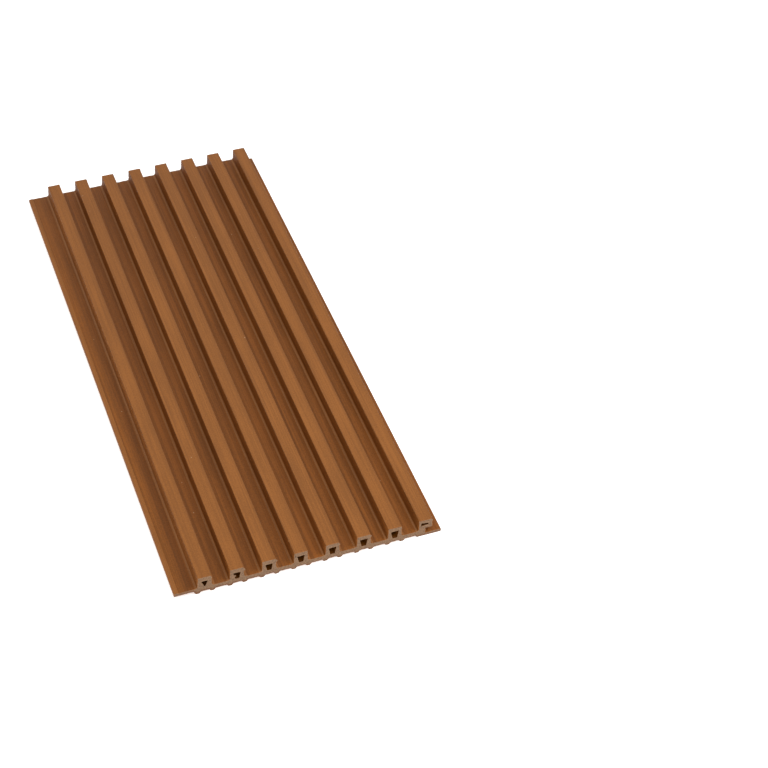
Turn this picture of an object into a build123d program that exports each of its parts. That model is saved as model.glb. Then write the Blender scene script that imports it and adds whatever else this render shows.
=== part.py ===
from build123d import *
import os
from math import radians, tan

# Fluted wall panel: one extruded length of wood-plastic composite. Hollow ribs stand on a
# web, pairs of feet run along its back, a tongue leaves one long edge and the last rib hooks
# over a groove and a lip at the other, so that panels slide into each other side by side.
#
# Frame, in millimetres: the origin is at the bottom centre, +X crosses the ribs from the
# tongue to the lip, +Y runs along the extrusion and +Z points out of the ribbed face.

# Length of the cut piece
panel_length = 473.0

# Ribs of the face
rib_count = 8
rib_pitch = 24.0
rib_top_width = 10.3
rib_height = 10.3
rib_draft_angle = 2.8
rib_edge_radius = 0.4
flute_root_radius = 1.7

# Web behind the flutes, and the two feet behind each rib
web_thickness = 4.2
foot_height = 1.85
foot_spacing = 11.0
foot_tip_width = 2.4
foot_root_width = 4.8
foot_tip_radius = 0.9
foot_root_radius = 0.8

# Tongue, with a flat bead along its edge that slopes down to the flute floor at 45 degrees
tongue_thickness = 2.75
bead_width = 3.3
bead_height = 0.3
tongue_edge_radius = 0.7

# Room that a tongue has in the groove of the panel beside it
joint_end_play = 0.9
joint_lower_play = 0.4
joint_upper_play = 1.4

# Groove and lip under the last rib
lip_reach = 12.5
lip_tip_radius = 1.2
groove_corner_radius = 0.5

# Chambers inside the ribs
chamber_top_wall = 4.0
chamber_side_wall = 2.2
chamber_bottom_wall = 3.9
chamber_taper_angle = 11.0
chamber_corner_radius = 0.45

# Wedge-shaped slot inside the last rib
slot_length = 5.6
slot_side_wall = 1.65
slot_inner_height = 2.8
slot_outer_height = 1.8
slot_corner_radius = 0.45

# Heights above the plane that the feet stand on
web_bottom = foot_height
flute_floor = web_bottom + web_thickness
rib_top = flute_floor + rib_height
bead_top = flute_floor + bead_height
tongue_bottom = flute_floor - tongue_thickness
lip_top = tongue_bottom - joint_lower_play
groove_top = bead_top + joint_upper_play
chamber_top = rib_top - chamber_top_wall
chamber_bottom = web_bottom + chamber_bottom_wall
slot_middle = (groove_top + rib_top) / 2

# Half widths and slopes of the section
rib_slope = tan(radians(rib_draft_angle))
foot_slope = (foot_root_width - foot_tip_width) / 2 / foot_height
half_rib_top = rib_top_width / 2
half_chamber_top = half_rib_top - chamber_side_wall
half_chamber_bottom = half_chamber_top - (chamber_top - chamber_bottom) * tan(radians(chamber_taper_angle))

# Places across the panel, centred on its whole width
tongue_reach = rib_pitch - joint_end_play
ribs_span = (rib_count - 1) * rib_pitch
panel_width = tongue_reach + ribs_span + lip_reach
tongue_edge = -panel_width / 2
first_rib = tongue_edge + tongue_reach
last_rib = first_rib + ribs_span
rib_places = [first_rib + index * rib_pitch for index in range(rib_count)]


def half_rib(height):
    """Half the width of a rib at a height."""
    return half_rib_top + (rib_top - height) * rib_slope


def half_foot(height):
    """Half the width of a foot at a height."""
    return foot_tip_width / 2 + height * foot_slope


def tongue_corners():
    """Corners of the tongue as (x, z, radius), from its underside over the edge to the flute floor."""
    bead_side = tongue_edge + bead_width
    return [
        (tongue_edge, tongue_bottom, tongue_edge_radius),
        (tongue_edge, bead_top, tongue_edge_radius),
        (bead_side, bead_top, 0),
        (bead_side + bead_height, flute_floor, 0),
    ]


def rib_corners(place):
    """Corners of a rib that stands between two flutes, from left to right."""
    return [
        (place - half_rib(flute_floor), flute_floor, flute_root_radius),
        (place - half_rib_top, rib_top, rib_edge_radius),
        (place + half_rib_top, rib_top, rib_edge_radius),
        (place + half_rib(flute_floor), flute_floor, flute_root_radius),
    ]


def hook_corners(place):
    """Corners of the last rib, which hooks over the groove, and of the groove and lip under it."""
    lip_tip = place + lip_reach
    return [
        (place - half_rib(flute_floor), flute_floor, flute_root_radius),
        (place - half_rib_top, rib_top, rib_edge_radius),
        (place + half_rib_top, rib_top, rib_edge_radius),
        (place + half_rib(groove_top), groove_top, rib_edge_radius),
        (place, groove_top, groove_corner_radius),
        (place, lip_top, groove_corner_radius),
        (lip_tip, lip_top, lip_tip_radius),
        (lip_tip, 0, lip_tip_radius),
    ]


def foot_corners(place, left_root=web_bottom):
    """Corners of a foot, from right to left, with the height that its left flank rises to."""
    return [
        (place + half_foot(web_bottom), web_bottom, foot_root_radius),
        (place + half_foot(0), 0, foot_tip_radius),
        *left_flank_corners(place, left_root),
    ]


def left_flank_corners(place, left_root):
    """Corners of the left flank of a foot or of the lip, from its tip up to its root."""
    return [
        (place - half_foot(0), 0, foot_tip_radius),
        (place - half_foot(left_root), left_root, foot_root_radius),
    ]


def chamber_corners(place):
    """Corners of the tapered chamber inside a rib."""
    return [
        (place - half_chamber_top, chamber_top),
        (place + half_chamber_top, chamber_top),
        (place + half_chamber_bottom, chamber_bottom),
        (place - half_chamber_bottom, chamber_bottom),
    ]


def slot_corners(place):
    """Corners of the slot inside the last rib, tall at its inner end and low at its outer end."""
    inner = place - half_rib_top + slot_side_wall
    outer = inner + slot_length
    return [
        (inner, slot_middle + slot_inner_height / 2),
        (outer, slot_middle + slot_outer_height / 2),
        (outer, slot_middle - slot_outer_height / 2),
        (inner, slot_middle - slot_inner_height / 2),
    ]


# Outline of the section: the face from the tongue to the lip, then the back with its feet
corners = tongue_corners()
for place in rib_places[:-1]:
    corners += rib_corners(place)
corners += hook_corners(last_rib)
corners += left_flank_corners(last_rib - foot_spacing / 2, web_bottom)
for place in reversed(rib_places[1:-1]):
    corners += foot_corners(place + foot_spacing / 2)
    corners += foot_corners(place - foot_spacing / 2)
corners += foot_corners(first_rib + foot_spacing / 2)
corners += foot_corners(first_rib - foot_spacing / 2, left_root=tongue_bottom)

with BuildPart() as fluted_panel:
    with BuildSketch(Plane.XZ) as section:
        with BuildLine() as outline:
            FilletPolyline(
                [(x, z) for x, z, radius in corners],
                radius=[radius for x, z, radius in corners],
                close=True,
            )
        make_face()
        for place in rib_places[:-1]:
            with BuildLine() as chamber:
                FilletPolyline(chamber_corners(place), radius=chamber_corner_radius, close=True)
            make_face(mode=Mode.SUBTRACT)
        with BuildLine() as slot:
            FilletPolyline(slot_corners(last_rib), radius=slot_corner_radius, close=True)
        make_face(mode=Mode.SUBTRACT)
    extrude(amount=panel_length / 2, both=True)

os.makedirs("parts", exist_ok=True)
fluted_panel.part.label = "fluted_panel"
export_step(fluted_panel.part, "parts/fluted_panel.step")
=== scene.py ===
"""Fluted wall panel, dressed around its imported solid.

The panel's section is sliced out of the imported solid, swept again along the panel's length,
capped, and frayed at both ends, where a saw cut the panel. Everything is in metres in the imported
model's frame: +X across the ribs, +Y along the panel, +Z out of its face. Sizes are written in
millimetres and multiplied by MM.
"""

from __future__ import annotations

import logging
import math
from dataclasses import dataclass, field
from enum import Enum, IntEnum
from typing import Any, Callable

import bmesh
import bpy
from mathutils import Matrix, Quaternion, Vector, noise

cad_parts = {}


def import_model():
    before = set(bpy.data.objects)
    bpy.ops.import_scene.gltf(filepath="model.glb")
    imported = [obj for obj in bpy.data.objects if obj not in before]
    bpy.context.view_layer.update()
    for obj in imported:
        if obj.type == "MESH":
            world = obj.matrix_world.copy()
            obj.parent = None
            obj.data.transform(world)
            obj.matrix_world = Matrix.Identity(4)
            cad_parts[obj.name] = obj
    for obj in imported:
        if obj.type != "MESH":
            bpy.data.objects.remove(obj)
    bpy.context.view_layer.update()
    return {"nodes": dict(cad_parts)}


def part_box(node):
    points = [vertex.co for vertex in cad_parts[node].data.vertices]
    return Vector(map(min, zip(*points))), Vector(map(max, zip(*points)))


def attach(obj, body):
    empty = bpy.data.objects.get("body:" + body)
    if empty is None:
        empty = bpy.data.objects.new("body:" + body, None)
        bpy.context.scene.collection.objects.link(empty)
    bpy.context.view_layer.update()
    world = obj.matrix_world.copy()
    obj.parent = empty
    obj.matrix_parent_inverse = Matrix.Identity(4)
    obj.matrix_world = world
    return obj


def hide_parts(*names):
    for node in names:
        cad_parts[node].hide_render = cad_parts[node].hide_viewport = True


LOG = logging.getLogger("fluted_panel")
MM = 0.001
WHITE = (1.0, 1.0, 1.0, 1.0)

# Share of a face's normal along the panel, from which the face belongs to an end
END_FACING = 0.9

# Middle of the values that a noise texture gives
NOISE_MIDDLE = 0.5

# Settings and sockets of a Mix node that mixes colours
COLOUR_MIX = {"data_type": "RGBA"}
MIX_SHARE = 0
MIX_LOWER = 6
MIX_UPPER = 7
MIX_RESULT = 2

# A coordinate, its value where a mask is still zero, and its value from where the mask is full
Border = tuple[bpy.types.NodeSocket, float, float]


class Surface(IntEnum):
    """Material slots of the panel, in their order on the mesh."""

    SKIN = 0
    CORE = 1
    SMEARED = 2
    FRAYED = 3
    BORE = 4


class End(IntEnum):
    """The panel's sawn ends, by the way they face along it."""

    NEAR = -1
    FAR = 1


class Mouth(Enum):
    """How the saw left the mouth of a chamber."""

    CLEAN = "ragged edges only"
    PINCHED = "melted shut towards its foot"
    BURRED = "a burr reaches in from one wall"


def linear(code: str) -> tuple[float, float, float, float]:
    """Turn an sRGB hex colour into linear values.

    Args:
        code: colour as six hex digits after a hash.

    Returns:
        Linear red, green and blue, and an alpha of one.
    """
    channels = [int(code[start : start + 2], 16) / 255 for start in (1, 3, 5)]
    values = [c / 12.92 if c <= 0.04045 else ((c + 0.055) / 1.055) ** 2.4 for c in channels]
    return values[0], values[1], values[2], 1.0


def add_node(
    tree: bpy.types.NodeTree,
    kind: str,
    settings: dict[str, Any] | None = None,
    inputs: dict[str | int, Any] | None = None,
) -> bpy.types.Node:
    """Add a shader node, then apply its settings and fill its inputs.

    Args:
        tree: node tree that gets the node.
        kind: Blender's name for the node, without its ShaderNode prefix.
        settings: the node's own properties, by name.
        inputs: a value or an output socket for each input, by name or number.

    Returns:
        The new node.
    """
    node = tree.nodes.new("ShaderNode" + kind)
    for name, value in (settings or {}).items():
        setattr(node, name, value)
    for key, value in (inputs or {}).items():
        if isinstance(value, bpy.types.NodeSocket):
            tree.links.new(value, node.inputs[key])
        else:
            node.inputs[key].default_value = value
    return node


def start_material(name: str) -> tuple[bpy.types.Material, bpy.types.NodeTree, bpy.types.Node]:
    """Make an empty node material.

    Args:
        name: the material's name.

    Returns:
        The material, its node tree and its principled shader.
    """
    material = bpy.data.materials.new(name)
    material.use_nodes = True
    tree = material.node_tree
    tree.nodes.clear()
    shader = add_node(tree, "BsdfPrincipled")
    add_node(tree, "OutputMaterial", inputs={"Surface": shader.outputs["BSDF"]})
    return material, tree, shader


def select_only(piece: bpy.types.Object) -> None:
    """Make one object the selected and active one.

    Args:
        piece: the object.
    """
    bpy.ops.object.select_all(action="DESELECT")
    piece.select_set(True)
    bpy.context.view_layer.objects.active = piece


@dataclass(frozen=True)
class Tone:
    """The two colours that a finish varies between."""

    dark: str
    light: str


@dataclass(frozen=True)
class Grain:
    """A noise in the finish: the size of its patches, and how much it counts."""

    across: float
    along: float
    weight: float


@dataclass(frozen=True)
class SkinPlace:
    """Coordinates of the skin: in the frame, and from the middle of the nearest rib."""

    across: bpy.types.NodeSocket
    along: bpy.types.NodeSocket
    height: bpy.types.NodeSocket
    past_rib: bpy.types.NodeSocket
    beside_rib: bpy.types.NodeSocket


@dataclass(frozen=True)
class BrushedSkin:
    """Wood-plastic composite skin, extruded and then brushed lengthways.

    It looks like matt, evenly stained timber: fine streaks along the panel, faint blotches and a
    few pale flecks of wood flour. The brushes made the rib tops and the tongue's bead paler by
    rubbing, and painted light makes them lighter still. The brushes wore lines into the tops'
    right-hand edges. A paler band along the ribs' roots is a painted reflection. The ribs' flanks,
    which the brushes missed, are duller. Painted shade darkens the floor right of the ribs, the
    flanks low down and the crease beside the bead, and a painted shadow of the first rib lies on
    the tongue.
    """

    # Places in the panel's section
    face_top: float
    flute_floor: float
    bead_inner_edge: float
    first_rib: float
    rib_pitch: float

    # Colours of the skin as extruded and as brushed, with painted light, a painted reflection and
    # painted shade
    extruded: Tone = Tone("#7A4717", "#92551D")
    # Tops and bead paler from rubbing, and lighter still with painted light
    rubbed_and_lit: Tone = Tone("#875325", "#9C612C")
    worn: Tone = Tone("#794B21", "#8D5727")
    # Painted reflection: a paler band along the ribs' roots
    painted_root_sheen: Tone = Tone("#8E5C33", "#A26B3B")
    # Painted shade in the corners right of the ribs, low on the flanks and beside the bead
    painted_shade_tone: Tone = Tone("#6D3E12", "#814B18")
    # Painted shadow of the first rib on the tongue
    shaded: Tone = Tone("#603610", "#724014")
    fleck: str = "#C9A27C"

    # Real brush streaks and specks are finer, and are drawn this coarse so that they show
    streaks: Grain = Grain(across=0.9 * MM, along=120 * MM, weight=2.8)
    speckle: Grain = Grain(across=0.9 * MM, along=0.9 * MM, weight=3.0)
    blotches: Grain = Grain(across=14 * MM, along=70 * MM, weight=1.6)
    grain_detail: float = 3.0
    grain_roughness: float = 0.55
    middle_tone: float = 0.5

    # Pale flecks, one at most in each cell, and none in a cell whose chance is below the rarity
    fleck_spacing: float = 11 * MM
    fleck_radius: float = 0.55 * MM
    fleck_core: float = 0.4
    fleck_rarity: float = 0.6
    fleck_cover: float = 0.8

    # Tops paler from rubbing and lighter with painted light, and the streaks worn into them between
    # two distances from a rib's middle
    fade: float = 0.4 * MM
    rubbed_depth: float = 0.25 * MM
    worn_start: float = 3.4 * MM
    worn_end: float = 4.9 * MM
    worn_streaks: tuple[float, float] = (-0.14, 0.35)

    # Painted reflection along the ribs' roots, out to a distance from a rib's middle
    root_reach: float = 7.2 * MM
    root_height: float = 0.2 * MM
    root_fade: float = 0.8 * MM

    # Painted shade on the floor right of the ribs, broken up in patches, between two distances from a
    # rib's middle
    corner_start: float = 7.4 * MM
    corner_end: float = 9.7 * MM
    corner_shade_breakup: tuple[float, float] = (-0.2, 0.2)
    corner_shade_least: float = 0.4

    # Painted shade low on the ribs' flanks, between two heights over the flutes' floor
    flank_shade_start: float = 0.9 * MM
    flank_shade_end: float = 1.6 * MM
    flank_shade_fade: float = 1.6 * MM
    flank_shade_share: float = 0.6

    # Painted shadow of the first rib on the tongue, from the first rib's middle, fading towards the
    # far end
    tongue_shadow_start: float = -12.8 * MM
    tongue_shadow_end: float = -9.6 * MM
    tongue_shadow_fade: float = 3.8 * MM
    tongue_shadow_reach: float = 250 * MM
    tongue_shadow_share: float = 0.75

    # Painted shade in the crease beside the tongue's bead
    bead_shade_width: float = 0.9 * MM
    bead_shade_share: float = 0.3

    # Relief and gloss
    brush_depth: float = 0.05 * MM
    brush_strength: float = 0.25
    roughness: float = 0.42
    flank_roughness: float = 0.65
    ior: float = 1.49
    gloss: float = 0.22

    def material(self) -> bpy.types.Material:
        """Build the skin's material.

        Returns:
            The material.
        """
        material, tree, shader = start_material("brushed_composite_skin")
        place = add_node(tree, "TexCoord").outputs["Object"]
        spot = self.locate(tree, place)
        streaks = self.pattern(tree, place, self.streaks)
        blotches = self.pattern(tree, place, self.blotches)
        speckle = self.pattern(tree, place, self.speckle)
        tone = self.middle_tone
        for part in (streaks, blotches, speckle):
            tone = add_node(tree, "Math", {"operation": "ADD"}, {0: tone, 1: part}).outputs[0]
        colour = linear(self.extruded.dark)
        # Brushed tops and worn lines, with painted light on the tops and a painted reflection along
        # the roots
        brushed = self.brushing_and_painted_light(tree, spot, streaks)
        # Painted shade, and a painted shadow on the tongue
        shade_masks = self.shade_masks(tree, spot, blotches)
        for finish, share in [(self.extruded, 1.0), *brushed, *shade_masks]:
            toned = add_node(
                tree,
                "Mix",
                COLOUR_MIX,
                {MIX_SHARE: tone, MIX_LOWER: linear(finish.dark), MIX_UPPER: linear(finish.light)},
            ).outputs[MIX_RESULT]
            colour = add_node(
                tree,
                "Mix",
                COLOUR_MIX,
                {MIX_SHARE: share, MIX_LOWER: colour, MIX_UPPER: toned},
            ).outputs[MIX_RESULT]
        flecks = self.fleck_mask(tree, place)
        colour = add_node(
            tree,
            "Mix",
            COLOUR_MIX,
            {MIX_SHARE: flecks, MIX_LOWER: colour, MIX_UPPER: linear(self.fleck)},
        ).outputs[MIX_RESULT]
        relief = {"Strength": self.brush_strength, "Distance": self.brush_depth, "Height": streaks}
        bump = add_node(tree, "Bump", inputs=relief)
        tree.links.new(colour, shader.inputs["Base Color"])
        tree.links.new(bump.outputs["Normal"], shader.inputs["Normal"])
        tree.links.new(self.dullness(tree, spot), shader.inputs["Roughness"])
        shader.inputs["IOR"].default_value = self.ior
        shader.inputs["Specular IOR Level"].default_value = self.gloss
        return material

    def locate(self, tree: bpy.types.NodeTree, place: bpy.types.NodeSocket) -> SkinPlace:
        """Add the coordinates that the finishes follow.

        Args:
            tree: the material's node tree.
            place: object coordinates.

        Returns:
            The coordinates. More than half a pitch left of the first rib, all of the tongue counts
            as the middle of a flute.
        """
        axes = add_node(tree, "SeparateXYZ", inputs={0: place}).outputs
        past = axes["X"]
        for operation, *values in (
            ("SUBTRACT", self.first_rib),
            ("MAXIMUM", -self.rib_pitch / 2),
            ("WRAP", self.rib_pitch / 2, -self.rib_pitch / 2),
        ):
            inputs = dict(enumerate([past, *values]))
            past = add_node(tree, "Math", {"operation": operation}, inputs).outputs[0]
        beside = add_node(tree, "Math", {"operation": "ABSOLUTE"}, {0: past}).outputs[0]
        return SkinPlace(axes["X"], axes["Y"], axes["Z"], past, beside)

    def pattern(
        self, tree: bpy.types.NodeTree, place: bpy.types.NodeSocket, grain: Grain
    ) -> bpy.types.NodeSocket:
        """Add a noise drawn out along the panel.

        Args:
            tree: the material's node tree.
            place: object coordinates.
            grain: the size of the noise's patches, and its weight.

        Returns:
            The weighted noise, about zero on average.
        """
        scale = (1 / grain.across, 1 / grain.along, 1 / grain.across)
        stretched = add_node(tree, "Mapping", inputs={"Vector": place, "Scale": scale}).outputs[0]
        spread = add_node(
            tree,
            "TexNoise",
            inputs={
                "Vector": stretched,
                "Scale": 1.0,
                "Detail": self.grain_detail,
                "Roughness": self.grain_roughness,
            },
        ).outputs["Fac"]
        return add_node(
            tree,
            "Math",
            {"operation": "MULTIPLY_ADD"},
            {0: spread, 1: grain.weight, 2: -NOISE_MIDDLE * grain.weight},
        ).outputs[0]

    def floor(self, spot: SkinPlace) -> tuple[Border, Border]:
        """Borders of the flutes' floor, below and above it."""
        upper = self.flute_floor + self.root_height
        return (
            (spot.height, self.flute_floor - self.fade, self.flute_floor - self.fade / 2),
            (spot.height, upper + self.fade, upper),
        )

    def brushing_and_painted_light(
        self, tree: bpy.types.NodeTree, spot: SkinPlace, streaks: bpy.types.NodeSocket
    ) -> list[tuple[Tone, Any]]:
        """Add the masks of the tops and bead, paler from rubbing and lighter with painted light, of
        the worn lines, and of the painted reflection along the ribs' roots.

        Args:
            tree: the material's node tree.
            spot: coordinates of the skin.
            streaks: noise that breaks up the worn edges.

        Returns:
            Each finish with its mask, from the bottom layer up.
        """
        rubbed_from = self.face_top - self.rubbed_depth
        top = (spot.height, rubbed_from - self.fade, rubbed_from)
        bead = (spot.across, self.bead_inner_edge + self.fade, self.bead_inner_edge)
        # Tops and bead paler from rubbing, and lighter with painted light
        rubbed_and_lit = add_node(
            tree,
            "Math",
            {"operation": "MAXIMUM"},
            {0: self.zone(tree, top), 1: self.zone(tree, bead)},
        ).outputs[0]
        faintest, strongest = self.worn_streaks
        lines = add_node(
            tree,
            "MapRange",
            inputs={"Value": streaks, "From Min": faintest, "From Max": strongest},
        ).outputs[0]
        worn = self.zone(
            tree,
            top,
            (spot.past_rib, self.worn_start - self.fade, self.worn_start),
            (spot.past_rib, self.worn_end + self.fade, self.worn_end),
        )
        worn = add_node(tree, "Math", {"operation": "MULTIPLY"}, {0: worn, 1: lines}).outputs[0]
        # Painted reflection along the ribs' roots
        root = self.zone(
            tree,
            (spot.beside_rib, self.root_reach + self.root_fade, self.root_reach),
            *self.floor(spot),
        )
        return [(self.rubbed_and_lit, rubbed_and_lit), (self.worn, worn), (self.painted_root_sheen, root)]

    def shade_masks(
        self, tree: bpy.types.NodeTree, spot: SkinPlace, blotches: bpy.types.NodeSocket
    ) -> list[tuple[Tone, Any]]:
        """Add the masks of painted shade in the corners right of the ribs, low on the flanks and
        beside the bead, and of a painted shadow on the tongue.

        Args:
            tree: the material's node tree.
            spot: coordinates of the skin.
            blotches: noise that breaks up the painted shade in the corners.

        Returns:
            Each finish with its mask, from the bottom layer up.
        """
        # Painted shade on the floor right of the ribs, broken up in patches
        faintest, strongest = self.corner_shade_breakup
        patches = add_node(
            tree,
            "MapRange",
            inputs={
                "Value": blotches,
                "From Min": faintest,
                "From Max": strongest,
                "To Min": self.corner_shade_least,
            },
        ).outputs[0]
        corner_shade = self.zone(
            tree,
            *self.floor(spot),
            (spot.past_rib, self.corner_start - self.fade, self.corner_start),
            (spot.past_rib, self.corner_end + self.fade, self.corner_end),
        )
        corner_shade = add_node(tree, "Math", {"operation": "MULTIPLY"}, {0: corner_shade, 1: patches}).outputs[0]
        # Painted shade low on the ribs' flanks
        flank_start = self.flute_floor + self.flank_shade_start
        flank_end = self.flute_floor + self.flank_shade_end
        flank = self.zone(
            tree,
            (spot.height, flank_start - self.fade, flank_start),
            (spot.height, flank_end + self.flank_shade_fade, flank_end),
            (spot.beside_rib, self.root_reach, self.root_reach - self.fade),
            share=self.flank_shade_share,
        )
        # Painted shade in the crease beside the tongue's bead
        seam_end = self.bead_inner_edge + self.bead_shade_width
        seam_shade = self.zone(
            tree,
            *self.floor(spot),
            (spot.across, self.bead_inner_edge, self.bead_inner_edge + self.fade / 2),
            (spot.across, seam_end + self.fade, seam_end),
            share=self.bead_shade_share,
        )
        # Painted shadow of the first rib on the tongue, fading towards the far end
        tongue_start = self.first_rib + self.tongue_shadow_start
        tongue_end = self.first_rib + self.tongue_shadow_end
        tongue = self.zone(
            tree,
            *self.floor(spot),
            (spot.across, tongue_start - self.tongue_shadow_fade, tongue_start),
            (spot.across, tongue_end + self.tongue_shadow_fade, tongue_end),
            (spot.along, self.tongue_shadow_reach, -self.tongue_shadow_reach),
            share=self.tongue_shadow_share,
        )
        return [
            (self.painted_shade_tone, corner_shade),
            (self.painted_shade_tone, flank),
            (self.painted_shade_tone, seam_shade),
            (self.shaded, tongue),
        ]

    def dullness(self, tree: bpy.types.NodeTree, spot: SkinPlace) -> bpy.types.NodeSocket:
        """Add the roughness, which is higher on the ribs' flanks.

        Args:
            tree: the material's node tree.
            spot: coordinates of the skin.

        Returns:
            The roughness.
        """
        rubbed_from = self.face_top - self.rubbed_depth
        flank = self.zone(
            tree,
            (
                spot.height,
                self.flute_floor + self.root_height,
                self.flute_floor + self.flank_shade_start,
            ),
            (spot.height, rubbed_from, rubbed_from - self.fade),
        )
        return add_node(
            tree,
            "MapRange",
            inputs={"Value": flank, "To Min": self.roughness, "To Max": self.flank_roughness},
        ).outputs[0]

    def zone(
        self, tree: bpy.types.NodeTree, *borders: Border, share: float = 1.0
    ) -> bpy.types.NodeSocket:
        """Add a mask of a zone of the panel.

        Args:
            tree: the material's node tree.
            borders: the zone's borders.
            share: value of the full mask.

        Returns:
            The mask.
        """
        mask = share
        for value, outside, inside in borders:
            border = add_node(
                tree,
                "MapRange",
                inputs={"Value": value, "From Min": outside, "From Max": inside},
            ).outputs[0]
            mask = add_node(tree, "Math", {"operation": "MULTIPLY"}, {0: mask, 1: border}).outputs[0]
        return mask

    def fleck_mask(
        self, tree: bpy.types.NodeTree, place: bpy.types.NodeSocket
    ) -> bpy.types.NodeSocket:
        """Add a mask of sparse pale flecks.

        Args:
            tree: the material's node tree.
            place: object coordinates.

        Returns:
            The mask.
        """
        cells = add_node(
            tree,
            "TexVoronoi",
            inputs={"Vector": place, "Scale": 1 / self.fleck_spacing},
        ).outputs
        near = add_node(
            tree,
            "MapRange",
            inputs={
                "Value": cells["Distance"],
                "From Min": self.fleck_radius / self.fleck_spacing,
                "From Max": self.fleck_core * self.fleck_radius / self.fleck_spacing,
            },
        ).outputs[0]
        chance = add_node(tree, "SeparateColor", inputs={0: cells["Color"]}).outputs[0]
        kept = add_node(
            tree,
            "Math",
            {"operation": "GREATER_THAN"},
            {0: chance, 1: self.fleck_rarity},
        ).outputs[0]
        mask = near
        for factor in (kept, self.fleck_cover):
            mask = add_node(tree, "Math", {"operation": "MULTIPLY"}, {0: mask, 1: factor}).outputs[0]
        return mask


@dataclass(frozen=True)
class SawnCore:
    """Core of the composite where a saw cut it: pale, dry and grainy, stained along the back.

    Where it is smeared or frayed it differs only in its two colours.
    """

    name: str
    dark: str
    light: str
    speck: str = "#5A4030"
    stain: str = "#6E4424"

    # Real wood flour is finer, and its grain and specks are drawn this coarse so that they show
    grain: float = 1.3 * MM
    grain_detail: float = 4.0
    grain_roughness: float = 0.7
    tone_range: tuple[float, float] = (0.35, 0.65)
    speck_spacing: float = 2.0 * MM
    speck_edge: float = 0.22
    speck_core: float = 0.1
    speck_share: float = 0.5

    # Stain that fades with the height over the back
    stain_depth: float = 2.6 * MM
    stain_share: float = 0.6

    # Relief and gloss
    saw_depth: float = 0.18 * MM
    saw_strength: float = 0.8
    roughness: float = 0.85
    ior: float = 1.45

    def material(self) -> bpy.types.Material:
        """Build the core's material.

        Returns:
            The material.
        """
        material, tree, shader = start_material(self.name)
        place = add_node(tree, "TexCoord").outputs["Object"]
        grain = add_node(
            tree,
            "TexNoise",
            inputs={
                "Vector": place,
                "Scale": 1 / self.grain,
                "Detail": self.grain_detail,
                "Roughness": self.grain_roughness,
            },
        ).outputs["Fac"]
        darkest, lightest = self.tone_range
        tone = add_node(
            tree,
            "MapRange",
            inputs={"Value": grain, "From Min": darkest, "From Max": lightest},
        ).outputs[0]
        colour = add_node(
            tree,
            "Mix",
            COLOUR_MIX,
            {MIX_SHARE: tone, MIX_LOWER: linear(self.dark), MIX_UPPER: linear(self.light)},
        ).outputs[MIX_RESULT]
        cells = add_node(
            tree,
            "TexVoronoi",
            inputs={"Vector": place, "Scale": 1 / self.speck_spacing},
        ).outputs["Distance"]
        specks = add_node(
            tree,
            "MapRange",
            inputs={
                "Value": cells,
                "From Min": self.speck_edge,
                "From Max": self.speck_core,
                "To Max": self.speck_share,
            },
        ).outputs[0]
        height = add_node(tree, "SeparateXYZ", inputs={0: place}).outputs["Z"]
        stained = add_node(
            tree,
            "MapRange",
            inputs={
                "Value": height,
                "From Min": self.stain_depth,
                "From Max": 0.0,
                "To Max": self.stain_share,
            },
        ).outputs[0]
        for share, tint in ((specks, self.speck), (stained, self.stain)):
            colour = add_node(
                tree,
                "Mix",
                COLOUR_MIX,
                {MIX_SHARE: share, MIX_LOWER: colour, MIX_UPPER: linear(tint)},
            ).outputs[MIX_RESULT]
        relief = {"Strength": self.saw_strength, "Distance": self.saw_depth, "Height": grain}
        bump = add_node(tree, "Bump", inputs=relief)
        tree.links.new(colour, shader.inputs["Base Color"])
        tree.links.new(bump.outputs["Normal"], shader.inputs["Normal"])
        shader.inputs["Roughness"].default_value = self.roughness
        shader.inputs["IOR"].default_value = self.ior
        return material


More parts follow.
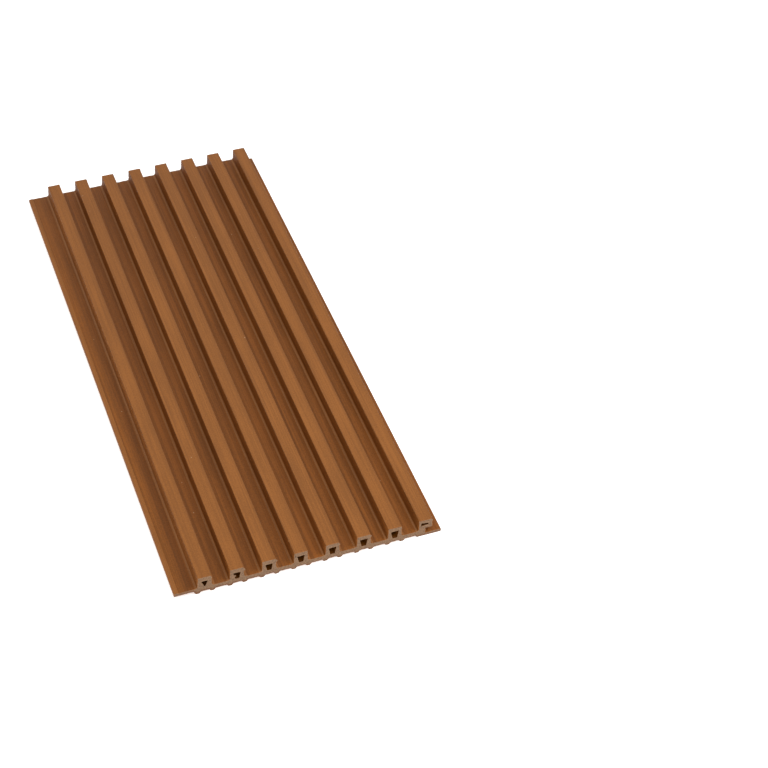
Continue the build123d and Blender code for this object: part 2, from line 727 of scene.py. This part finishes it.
@dataclass(frozen=True)
class ChamberBore:
    """Composite inside the chambers, as it left the die: dull brown, with faint die lines.

    Painted shade makes it darker at the mouths.
    """

    panel_end: float
    extruded: Tone = Tone("#6B3D07", "#7E480A")
    # Painted shade: darker tones near the mouths
    mouth_shade: Tone = Tone("#4D2804", "#5A2F06")
    mouth_shade_depth: float = 4 * MM

    # Real die lines are finer, and are drawn this coarse so that they show
    line_width: float = 0.5 * MM
    line_length: float = 90 * MM
    line_detail: float = 2.0

    # Relief and gloss
    line_depth: float = 0.05 * MM
    line_strength: float = 0.4
    roughness: float = 0.7
    ior: float = 1.49
    gloss: float = 0.1

    def material(self) -> bpy.types.Material:
        """Build the bore's material.

        Returns:
            The material.
        """
        material, tree, shader = start_material("chamber_bore")
        place = add_node(tree, "TexCoord").outputs["Object"]
        scale = (1 / self.line_width, 1 / self.line_length, 1 / self.line_width)
        stretched = add_node(tree, "Mapping", inputs={"Vector": place, "Scale": scale}).outputs[0]
        lines = add_node(
            tree,
            "TexNoise",
            inputs={"Vector": stretched, "Scale": 1.0, "Detail": self.line_detail},
        ).outputs["Fac"]
        along = add_node(tree, "SeparateXYZ", inputs={0: place}).outputs["Y"]
        # Painted shade, fading in from the mouths
        near_mouth = add_node(
            tree,
            "MapRange",
            inputs={
                "Value": add_node(tree, "Math", {"operation": "ABSOLUTE"}, {0: along}).outputs[0],
                "From Min": self.panel_end - self.mouth_shade_depth,
                "From Max": self.panel_end,
            },
        ).outputs[0]
        extruded, mouth_shade = (
            add_node(
                tree,
                "Mix",
                COLOUR_MIX,
                {MIX_SHARE: lines, MIX_LOWER: linear(finish.dark), MIX_UPPER: linear(finish.light)},
            ).outputs[MIX_RESULT]
            for finish in (self.extruded, self.mouth_shade)
        )
        colour = add_node(
            tree,
            "Mix",
            COLOUR_MIX,
            {MIX_SHARE: near_mouth, MIX_LOWER: extruded, MIX_UPPER: mouth_shade},
        ).outputs[MIX_RESULT]
        relief = {"Strength": self.line_strength, "Distance": self.line_depth, "Height": lines}
        bump = add_node(tree, "Bump", inputs=relief)
        tree.links.new(colour, shader.inputs["Base Color"])
        tree.links.new(bump.outputs["Normal"], shader.inputs["Normal"])
        shader.inputs["Roughness"].default_value = self.roughness
        shader.inputs["IOR"].default_value = self.ior
        shader.inputs["Specular IOR Level"].default_value = self.gloss
        return material


@dataclass(frozen=True)
class Chamber:
    """Hole through the panel: its edges across the panel and in height."""

    left: float
    right: float
    bottom: float
    top: float

    @property
    def middle(self) -> float:
        """Place of the chamber's middle across the panel."""
        return (self.left + self.right) / 2

    @property
    def mid_height(self) -> float:
        """Height of the chamber's middle."""
        return (self.bottom + self.top) / 2

    def gap(self, place: Vector) -> float:
        """How far outside the chamber's edges a point lies, zero for a point inside."""
        beside = max(self.left - place.x, place.x - self.right)
        return max(beside, self.bottom - place.z, place.z - self.top, 0.0)

    def holds(self, place: Vector, margin: float) -> bool:
        """Say whether a point lies in the chamber or within a margin round it."""
        return self.gap(place) < margin


@dataclass
class FlutedPanel:
    """The extruded panel: a section swept along its length, with two sawn ends."""

    node: bpy.types.Object
    name: str = "composite_panel"
    body: str = "root"
    slot: str = "composite"

    # Sweep: what counts as one point, the outline's longest step, and depths of the end's sections
    weld: float = 0.001 * MM
    outline_step: float = 0.65 * MM
    end_stations: tuple[float, ...] = (0.0, 0.3 * MM, 0.9 * MM, 4.0 * MM)
    middle_steps: int = 6
    smooth_angle: float = math.radians(32)

    # Core of an end, in triangles of about one size
    core_step: float = 1.0 * MM
    core_passes: int = 5

    # Thinner than the smallest rounding of the section, so that the rim of an end doesn't fold
    skin_thickness: float = 0.3 * MM

    # Brown smeared over the back edge of a cut, which deepens over some ribs towards the tongue
    smear_depth: float = 0.7 * MM
    tongue_smear: float = 1.8 * MM
    smear_ribs: float = 3.0

    # Bead along the tongue's edge, to about the middle of its slope
    bead_width: float = 3.4 * MM

    # Torn edges of the ends, from a noise with a fixed seed, so that each run tears them alike
    chip_seed: int = 7
    chip_size: float = 1.1 * MM
    chip_reach: float = 0.28 * MM
    chip_depth: float = 0.9 * MM
    cut_relief: float = 0.15 * MM

    # Fins beside the ribs' ends. A noise gives each rib's fin its size, and a second layer its drop
    fin_start: float = 3.9 * MM
    fin_drop: float = 3.0 * MM
    fin_height: float = 3.0 * MM
    fin_reach: float = 2.2 * MM
    fin_shown: float = 0.2 * MM
    fin_spread: float = 1.7
    fin_drop_layer: float = 1.5

    # Chamber mouths: the first is shrunk by a share, and each next one is larger by a share
    mouth_margin: float = 0.5 * MM
    mouth_shrink: float = 0.08
    mouth_growth: float = 0.0285
    pinch_rise: float = 0.8 * MM
    pinch_width: float = 0.45
    burr_low: float = 0.28
    burr_high: float = 0.68
    burr_reach: float = 1.7 * MM
    near_mouths: tuple[Mouth, ...] = (Mouth.PINCHED, Mouth.BURRED)
    far_mouths: tuple[Mouth, ...] = (Mouth.CLEAN, Mouth.CLEAN, Mouth.BURRED)

    # Filled in while building: the mesh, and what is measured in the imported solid
    piece: bpy.types.Object = field(init=False)
    low: Vector = field(init=False)
    high: Vector = field(init=False)
    chambers: list[Chamber] = field(init=False)
    flute_floor: float = field(init=False)

    @property
    def pitch(self) -> float:
        """Distance from one rib to the next."""
        return self.chambers[1].middle - self.chambers[0].middle

    def build(self) -> bpy.types.Object:
        """Model the panel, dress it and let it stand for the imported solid.

        Returns:
            The finished piece.
        """
        self.low, self.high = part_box(self.node.name)
        self.cut_section()
        self.find_chambers()
        self.sweep()
        for end in End:
            self.cut_through(end)
        self.name_surfaces()
        self.fray()
        self.dress()
        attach(self.piece, self.body)
        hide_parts(self.node.name)
        return self.piece

    def cut_section(self) -> None:
        """Copy the solid and keep only its near end face, with an outline in short steps."""
        mesh = self.node.data.copy()
        mesh.materials.clear()
        self.piece = bpy.data.objects.new(self.name, mesh)
        bpy.context.scene.collection.objects.link(self.piece)
        select_only(self.piece)
        bpy.ops.object.mode_set(mode="EDIT")
        bpy.ops.mesh.select_all(action="SELECT")
        bpy.ops.mesh.remove_doubles(threshold=self.weld)
        self.select_faces(lambda face: face.normal.y > -END_FACING)
        bpy.ops.mesh.delete(type="FACE")
        while self.select_edges(
            lambda edge: edge.is_boundary and edge.calc_length() > self.outline_step
        ):
            bpy.ops.mesh.subdivide(number_cuts=1)
        bpy.ops.object.mode_set(mode="OBJECT")

    def select_faces(self, wanted: Callable[[bmesh.types.BMFace], bool]) -> None:
        """Select faces of the piece in edit mode.

        Args:
            wanted: says whether a face is to be selected.
        """
        bpy.ops.mesh.select_mode(type="FACE")
        bpy.ops.mesh.select_all(action="DESELECT")
        mesh = bmesh.from_edit_mesh(self.piece.data)
        for face in mesh.faces:
            face.select_set(wanted(face))
        bmesh.update_edit_mesh(self.piece.data)

    def select_edges(self, wanted: Callable[[bmesh.types.BMEdge], bool]) -> int:
        """Select edges of the piece in edit mode.

        Args:
            wanted: says whether an edge is to be selected.

        Returns:
            How many edges are selected.
        """
        bpy.ops.mesh.select_mode(type="EDGE")
        bpy.ops.mesh.select_all(action="DESELECT")
        mesh = bmesh.from_edit_mesh(self.piece.data)
        for edge in mesh.edges:
            edge.select_set(wanted(edge))
        bmesh.update_edit_mesh(self.piece.data)
        return sum(edge.select for edge in mesh.edges)

    def rims(self) -> list[list[Vector]]:
        """Follow the rims of the section.

        Returns:
            The points of the outline and of each hole.
        """
        section = bmesh.new()
        section.from_mesh(self.piece.data)
        left = {vertex for vertex in section.verts if vertex.is_boundary}
        loops = []
        while left:
            loop = []
            front = [left.pop()]
            while front:
                vertex = front.pop()
                loop.append(vertex.co.copy())
                rim = [edge for edge in vertex.link_edges if edge.is_boundary]
                neighbours = [edge.other_vert(vertex) for edge in rim]
                front += [other for other in neighbours if other in left]
                left.difference_update(neighbours)
            loops.append(loop)
        section.free()
        return loops

    def find_chambers(self) -> None:
        """Measure the holes of the section, from the tongue to the lip, and the flutes' floor."""
        loops = self.rims()
        boxes = []
        for loop in loops:
            across = [point.x for point in loop]
            heights = [point.z for point in loop]
            boxes.append(Chamber(min(across), max(across), min(heights), max(heights)))
        boxes.sort(key=lambda box: box.left)
        # The first box is the outline's own
        self.chambers = boxes[1:]
        flute = self.chambers[0].middle + self.pitch / 2
        near = [point for loop in loops for point in loop if abs(point.x - flute) < self.outline_step]
        self.flute_floor = max(point.z for point in near)
        LOG.info("section: %d chambers, %d points", len(self.chambers), sum(map(len, loops)))

    def chamber_at(self, place: Vector, margin: float) -> int | None:
        """Find the chamber at a point.

        Args:
            place: the point.
            margin: how far from the chamber it may lie.

        Returns:
            The chamber's number from the tongue, or None.
        """
        for number, chamber in enumerate(self.chambers):
            if chamber.holds(place, margin):
                return number
        return None

    def stations(self) -> list[float]:
        """List the places along the panel where the section is repeated.

        Returns:
            The places, close together at both ends.
        """
        near = [self.low.y + depth for depth in self.end_stations]
        far = [self.high.y - depth for depth in reversed(self.end_stations)]
        gap = (far[0] - near[-1]) / self.middle_steps
        middle = [near[-1] + gap * step for step in range(1, self.middle_steps)]
        return near + middle + far

    def sweep(self) -> None:
        """Extrude the section from station to station."""
        stations = self.stations()
        bpy.ops.object.mode_set(mode="EDIT")
        bpy.ops.mesh.select_mode(type="FACE")
        bpy.ops.mesh.select_all(action="SELECT")
        for here, there in zip(stations, stations[1:]):
            bpy.ops.mesh.extrude_region_move(
                TRANSFORM_OT_translate={"value": (0, there - here, 0)}
            )
        bpy.ops.mesh.select_all(action="SELECT")
        bpy.ops.mesh.normals_make_consistent(inside=False)
        bpy.ops.object.mode_set(mode="OBJECT")

    def cut_through(self, end: End) -> None:
        """Mark off the rim of an end, where the skin is cut through, from the core.

        Args:
            end: the end.
        """
        bpy.ops.object.mode_set(mode="EDIT")
        self.select_faces(lambda face: face.normal.y * end > END_FACING)
        bpy.ops.mesh.inset(thickness=self.skin_thickness, depth=0, use_even_offset=True)
        panel = bmesh.from_edit_mesh(self.piece.data)
        for face in panel.faces:
            if face.select:
                face.material_index = Surface.CORE
        bmesh.update_edit_mesh(self.piece.data)
        for _ in range(self.core_passes):
            self.select_edges(
                lambda edge: edge.calc_length() > self.core_step
                and all(face.material_index == Surface.CORE for face in edge.link_faces)
            )
            bpy.ops.mesh.subdivide(number_cuts=1)
            self.select_faces(lambda face: face.material_index == Surface.CORE)
            bpy.ops.mesh.quads_convert_to_tris()
            bpy.ops.mesh.beautify_fill()
        bpy.ops.object.mode_set(mode="OBJECT")

    def name_surfaces(self) -> None:
        """Tell the skin, the smeared back edge, the frayed mouths and fins, and the bores apart."""
        bpy.context.view_layer.update()
        for face in self.piece.data.polygons:
            cut = abs(face.normal.y) > END_FACING
            if cut and self.near_back(face.center):
                face.material_index = Surface.SMEARED
            elif face.material_index == Surface.CORE:
                continue
            elif self.chamber_at(face.center, self.skin_thickness) is not None:
                face.material_index = Surface.FRAYED if cut else Surface.BORE
            elif self.high.y - abs(face.center.y) < self.end_stations[1]:
                if self.fin_shift(face.center).x > self.fin_shown:
                    face.material_index = Surface.FRAYED

    def near_back(self, place: Vector) -> bool:
        """Say whether a point of an end lies so near the back that the saw smeared brown over it.

        Args:
            place: the point.

        Returns:
            Whether the back is that near, straight below the point or aslant.
        """
        inside = place - Vector((0, math.copysign(self.chip_depth, place.y), 0))
        share = 1 - (place.x - self.chambers[0].middle) / (self.smear_ribs * self.pitch)
        depth = self.smear_depth + (self.tongue_smear - self.smear_depth) * min(max(share, 0), 1)
        for sideways in (-1, 0, 1):
            down = Vector((sideways, 0, -1)).normalized()
            found, hit, facing, _ = self.piece.ray_cast(inside, down, distance=depth)
            if found and facing.z < 0 and self.chamber_at(hit, self.mouth_margin) is None:
                return True
        return False

    def fray(self) -> None:
        """Leave both ends as the saw left them: chipped, with fins on the ribs and rough mouths."""
        noise.seed_set(self.chip_seed)
        for vertex in self.piece.data.vertices:
            end = math.copysign(self.high.y, vertex.co.y)
            depth = abs(end - vertex.co.y)
            if depth > self.chip_depth:
                continue
            fade = 1 - depth / self.chip_depth
            place = vertex.co.copy()
            number = self.chamber_at(place, self.mouth_margin)
            if number is not None:
                place += fade * self.mouth_shift(vertex.co, number)
            if depth < self.weld:
                place += self.fin_shift(vertex.co)
            place += fade * self.chip_shift(vertex.co)
            for axis in range(3):
                place[axis] = min(max(place[axis], self.low[axis]), self.high[axis])
            vertex.co = place

    def chip_shift(self, place: Vector) -> Vector:
        """How far the saw tore a point of the end out of its place.

        Args:
            place: the point's place in the smooth section.

        Returns:
            The shift, which moves the cut face only inwards.
        """
        torn = noise.noise_vector(place / self.chip_size) * self.chip_reach
        inwards = -math.copysign(1, place.y)
        torn.y = inwards * self.cut_relief * abs(noise.noise(place / self.chip_size))
        return torn

    def fin_shift(self, place: Vector) -> Vector:
        """How far a fin stands out from the right-hand edge of a rib's end.

        Args:
            place: a point of the end's outline.

        Returns:
            The shift across the panel, zero away from the ribs' upper right edges.
        """
        rib = round((place.x - self.chambers[0].middle) / self.pitch)
        past = place.x - self.chambers[0].middle - rib * self.pitch
        size, drop = (
            abs(noise.noise(Vector((rib * self.fin_spread, place.y, layer))))
            for layer in (0, self.fin_drop_layer)
        )
        share = (self.high.z - self.fin_drop * drop - place.z) / self.fin_height
        if not 0 < share < 1 or past < self.fin_start:
            return Vector()
        return Vector((self.fin_reach * size * (1 - abs(2 * share - 1)), 0, 0))

    def mouth_shift(self, place: Vector, number: int) -> Vector:
        """How the saw shaped a chamber's mouth. The slot in the last rib keeps its shape.

        Args:
            place: a point of the mouth.
            number: the chamber's number, from the tongue.

        Returns:
            The shift across the panel and in height.
        """
        chamber = self.chambers[number]
        if chamber is self.chambers[-1]:
            return Vector()
        mouths = self.near_mouths if place.y < 0 else self.far_mouths
        mouth = mouths[number] if number < len(mouths) else Mouth.CLEAN
        share = (place.z - chamber.bottom) / (chamber.top - chamber.bottom)
        share = min(max(share, 0), 1)
        hold = 1 - chamber.gap(place) / self.mouth_margin
        widening = hold * (self.mouth_growth * number - self.mouth_shrink)
        shift = Vector((place.x - chamber.middle, 0, place.z - chamber.mid_height)) * widening
        if mouth is Mouth.PINCHED:
            squeeze = (1 - self.pinch_width) * (1 - share)
            shift += Vector(((chamber.middle - place.x) * squeeze, 0, self.pinch_rise * (1 - share)))
        elif mouth is Mouth.BURRED and place.x < chamber.middle:
            height = (share - self.burr_low) / (self.burr_high - self.burr_low)
            shift.x += self.burr_reach * max(0, 1 - abs(2 * height - 1))
        return shift

    def dress(self) -> None:
        """Give the panel its materials and smooth its rounded edges."""
        skin = BrushedSkin(
            face_top=self.high.z,
            flute_floor=self.flute_floor,
            bead_inner_edge=self.low.x + self.bead_width,
            first_rib=self.chambers[0].middle,
            rib_pitch=self.pitch,
        )
        finishes = {
            Surface.SKIN: skin.material(),
            Surface.CORE: SawnCore("sawn_core", dark="#684D37", light="#917053").material(),
            Surface.SMEARED: SawnCore("smeared_core", dark="#66432A", light="#7E5738").material(),
            Surface.FRAYED: SawnCore("frayed_core", dark="#806148", light="#9C7B5B").material(),
            Surface.BORE: ChamberBore(self.high.y).material(),
        }
        for surface in Surface:
            self.piece.data.materials.append(finishes[surface])
        select_only(self.piece)
        bpy.ops.object.shade_smooth_by_angle(angle=self.smooth_angle)


@dataclass(frozen=True)
class SoftLight:
    """Round light that faces the panel."""

    name: str
    place: tuple[float, float, float]
    size: float
    power: float

    def build(self) -> None:
        """Make the light."""
        bpy.ops.object.light_add(type="AREA", location=self.place)
        light = bpy.context.active_object
        light.name = self.name
        light.data.shape = "DISK"
        light.data.size = self.size
        light.data.energy = self.power
        light.rotation_euler = (-Vector(self.place)).to_track_quat("-Z", "Y").to_euler()


@dataclass(frozen=True)
class Studio:
    """White sweep lit from all round, by a broad light above and by a smaller one at the right."""

    floor_colour: str = "#F7F6F4"
    floor_glow: float = 0.6
    floor_roughness: float = 0.9
    floor_size: float = 14.0
    floor_gap: float = 0.05 * MM
    surround_strength: float = 0.707
    lights: tuple[SoftLight, ...] = (
        SoftLight("overhead_light", place=(0.1, -0.6, 1.0), size=0.94, power=3.46),
        SoftLight("key_light", place=(0.62, -0.6, 1.0), size=0.27, power=3.43),
    )

    def build(self) -> None:
        """Make the floor, the surround and the lights."""
        bpy.ops.object.select_all(action="DESELECT")
        bpy.ops.mesh.primitive_plane_add(size=self.floor_size, location=(0, 0, -self.floor_gap))
        floor = bpy.context.active_object
        floor.name = "floor"
        material, _, shader = start_material("white_sweep")
        shader.inputs["Base Color"].default_value = linear(self.floor_colour)
        shader.inputs["Roughness"].default_value = self.floor_roughness
        shader.inputs["Emission Color"].default_value = WHITE
        shader.inputs["Emission Strength"].default_value = self.floor_glow
        floor.data.materials.append(material)
        world = bpy.data.worlds.new("white_surround")
        world.use_nodes = True
        background = world.node_tree.nodes["Background"]
        background.inputs["Color"].default_value = WHITE
        background.inputs["Strength"].default_value = self.surround_strength
        bpy.context.scene.world = world
        for light in self.lights:
            light.build()


@dataclass(frozen=True)
class PhotoCamera:
    """Camera where the photograph was taken from."""

    place: tuple[float, float, float] = (-0.28271, -1.11455, 1.06637)
    forward: tuple[float, float, float] = (0.25825, 0.67411, -0.69201)
    roll: float = math.radians(-1.511)
    lens: float = 90.765
    sensor: float = 36.0

    def build(self) -> None:
        """Make the camera and look through it."""
        bpy.ops.object.camera_add(location=self.place)
        camera = bpy.context.active_object
        camera.name = "photo_camera"
        camera.data.sensor_width = self.sensor
        camera.data.lens = self.lens
        forward = Vector(self.forward).normalized()
        turn = Quaternion(forward, self.roll) @ forward.to_track_quat("-Z", "Y")
        camera.rotation_euler = turn.to_euler()
        bpy.context.scene.camera = camera


def main() -> None:
    """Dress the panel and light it."""
    logging.basicConfig(level=logging.INFO)
    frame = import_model()
    panel = FlutedPanel(frame["nodes"]["fluted_panel"]).build()
    LOG.info("%s: %d faces", panel.name, len(panel.data.polygons))
    Studio().build()
    PhotoCamera().build()
    # The finishes were matched with no film look laid over their colours
    bpy.context.scene.view_settings.view_transform = "Standard"


if __name__ == "__main__":
    main()
